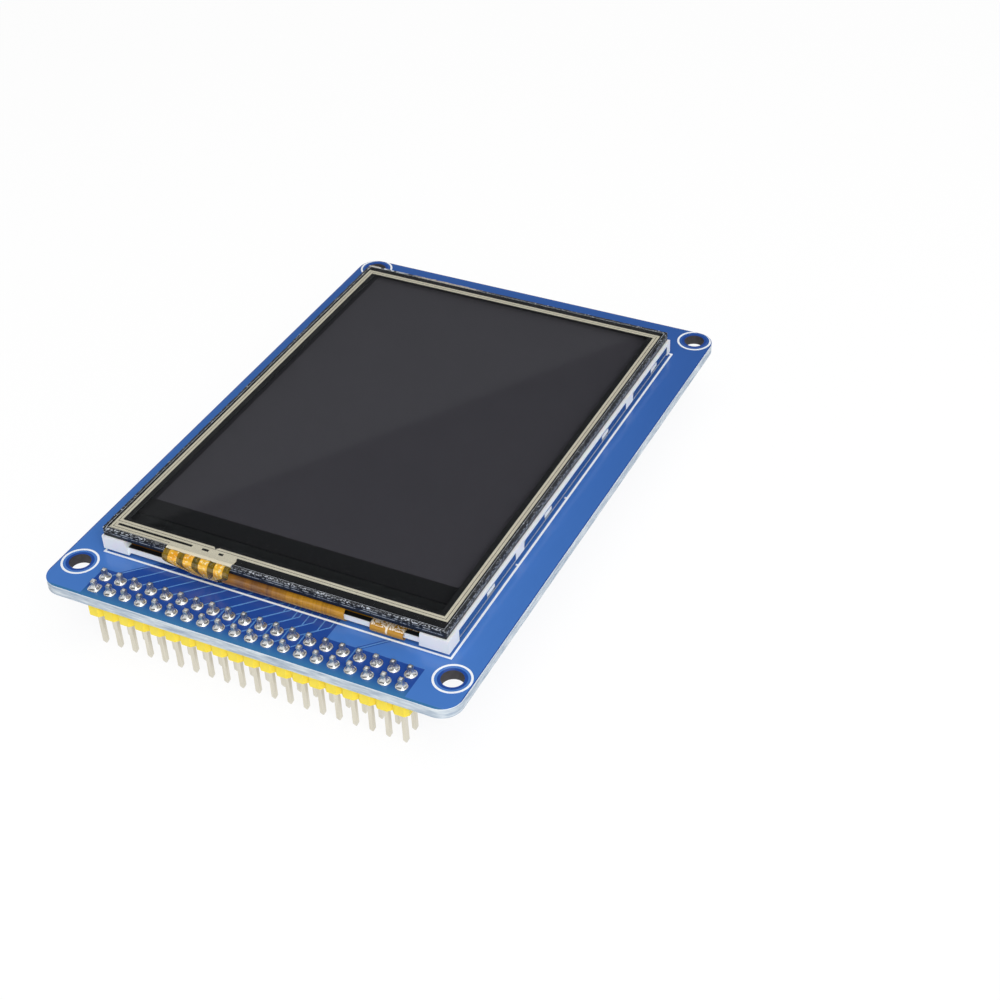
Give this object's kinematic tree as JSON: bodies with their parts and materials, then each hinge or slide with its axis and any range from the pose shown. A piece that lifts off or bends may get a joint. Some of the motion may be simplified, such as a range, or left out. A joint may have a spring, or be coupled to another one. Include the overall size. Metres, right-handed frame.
{
  "type": "tft display module",
  "caption": "Flat resistive-touch colour display on a blue carrier board, with a two-row pin header below one short edge and a memory card socket under the other.",
  "frame": {"origin": "centre of the four mounting holes, on the underside of the board, where stand-offs bear", "axes": "+Z out of the screen; +Y from the pin header's edge towards the memory card's edge; +X to the right, seen from the screen's side with the header nearest"},
  "size_m": [0.065, 0.095, 0.0142],
  "materials": {
    "solder_mask": "satin blue solder mask over fibreglass",
    "legend_ink": "matte white ink",
    "header_plastic": "matte yellow moulding",
    "tinned_pins": "tin-plated brass",
    "solder": "bright solder",
    "foam_tape": "matte foam",
    "pan_steel": "polished steel sheet",
    "frame_plastic": "white moulding",
    "reflector_film": "white film",
    "acrylic": "clear acrylic",
    "led_resin": "yellow phosphor resin in a white body",
    "flex_film": "amber polyimide film",
    "prism_film": "ribbed clear film",
    "black_tape": "black tape",
    "polarizer_film": "dark grey film, satin",
    "display_glass": "thin display glass",
    "chip_epoxy": "black moulded epoxy",
    "touch_glass": "clear glass",
    "touch_film": "clear hard-coated film",
    "silver_ink": "baked silver ink, beige grey",
    "tail_film": "clear amber polyimide",
    "copper_foil": "copper foil under amber film",
    "socket_steel": "nickel-plated steel",
    "socket_plastic": "black moulding",
    "contact_gold": "gold-plated bronze",
    "capacitor_ceramic": "tan ceramic",
    "resistor_body": "black glaze"
  },
  "bodies": {
    "root": {"circuit_board": "solder_mask", "legend_ink": "legend_ink", "header_insulator": "header_plastic", "header_pins": "tinned_pins", "header_solder": "solder", "mounting_tape": "foam_tape", "backlight_pan": "pan_steel", "display_frame": "frame_plastic", "reflector_sheet": "reflector_film", "light_guide": "acrylic", "backlight_leds": "led_resin", "backlight_flex": "flex_film", "diffuser_sheet": "reflector_film", "lower_prism_film": "prism_film", "upper_prism_film": "prism_film", "rim_tape": "black_tape", "rear_polarizer": "polarizer_film", "tft_glass": "display_glass", "filter_glass": "display_glass", "front_polarizer": "polarizer_film", "driver_chip": "chip_epoxy", "ledge_tape": "black_tape", "display_flex": "flex_film", "flex_solder": "solder", "touch_gasket": "black_tape", "touch_glass": "touch_glass", "spacer_tape": "black_tape", "silver_lines": "silver_ink", "touch_film": "touch_film", "touch_tail": "tail_film", "tail_tracks": "copper_foil", "card_shell": "socket_steel", "card_body": "socket_plastic", "card_contacts": "contact_gold", "touch_chip": "chip_epoxy", "touch_chip_leads": "tinned_pins", "lamp_transistor": "chip_epoxy", "transistor_leads": "tinned_pins", "capacitors": "capacitor_ceramic", "resistors": "resistor_body", "chip_end_caps": "solder"}
  },
  "joints": []
}
